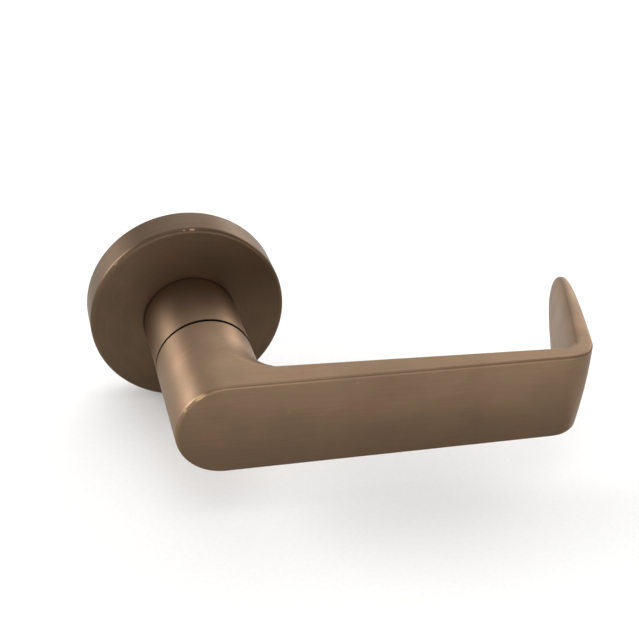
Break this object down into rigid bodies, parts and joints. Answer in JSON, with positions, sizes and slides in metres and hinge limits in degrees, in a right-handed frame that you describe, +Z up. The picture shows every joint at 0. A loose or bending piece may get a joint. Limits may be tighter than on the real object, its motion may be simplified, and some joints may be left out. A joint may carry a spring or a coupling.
{
  "type": "lever handle lockset trim",
  "caption": "Door lever trim: round rose, fixed collar and a flat bar lever with a bent return, turning a square spindle against a return spring.",
  "frame": {"origin": "centre of the mounting plate's back face, on the spindle axis, in the plane of the door face", "axes": "+Y into the door along the spindle axis, +X along the lever, +Z up the door"},
  "size_m": [0.141, 0.1006, 0.054],
  "materials": {
    "dark_bronze": "satin oil-rubbed bronze, finely brushed, worn to gold on the edges",
    "plated_steel": "zinc plated",
    "black_steel": "black oxide",
    "spring_steel": "drawn wire, satin",
    "zinc_casting": "as cast, matt grey",
    "sintered_bronze": "oiled, matt",
    "black_nylon": "moulded, matt"
  },
  "bodies": {
    "trim": {"rose_cover": "dark_bronze", "collar_sleeve": "dark_bronze", "mounting_plate": "zinc_casting", "mounting_screw_1": "plated_steel", "mounting_screw_2": "plated_steel", "collar_screw_1": "black_steel", "collar_screw_2": "black_steel", "collar_screw_3": "black_steel", "rose_spring_ring": "spring_steel", "rear_bushing": "sintered_bronze", "front_bushing": "sintered_bronze", "thrust_washer": "black_nylon", "return_spring": "spring_steel"},
    "lever": {"lever_handle": "dark_bronze", "lever_shank": "plated_steel", "lever_set_screw": "black_steel", "spindle": "plated_steel", "spindle_pin": "black_steel", "spring_driver": "zinc_casting", "driver_pin": "black_steel", "stop_cam": "zinc_casting", "retaining_ring": "spring_steel", "wave_washer": "spring_steel"}
  },
  "joints": [
    {"name": "lever_turn", "type": "hinge", "parent": "trim", "child": "lever", "pos_m": [0, 0, 0], "axis": [0, 1, 0], "range_deg": [-50, 50], "stiffness_Nm_per_rad": 2.5, "deforming": ["return_spring"]}
  ]
}
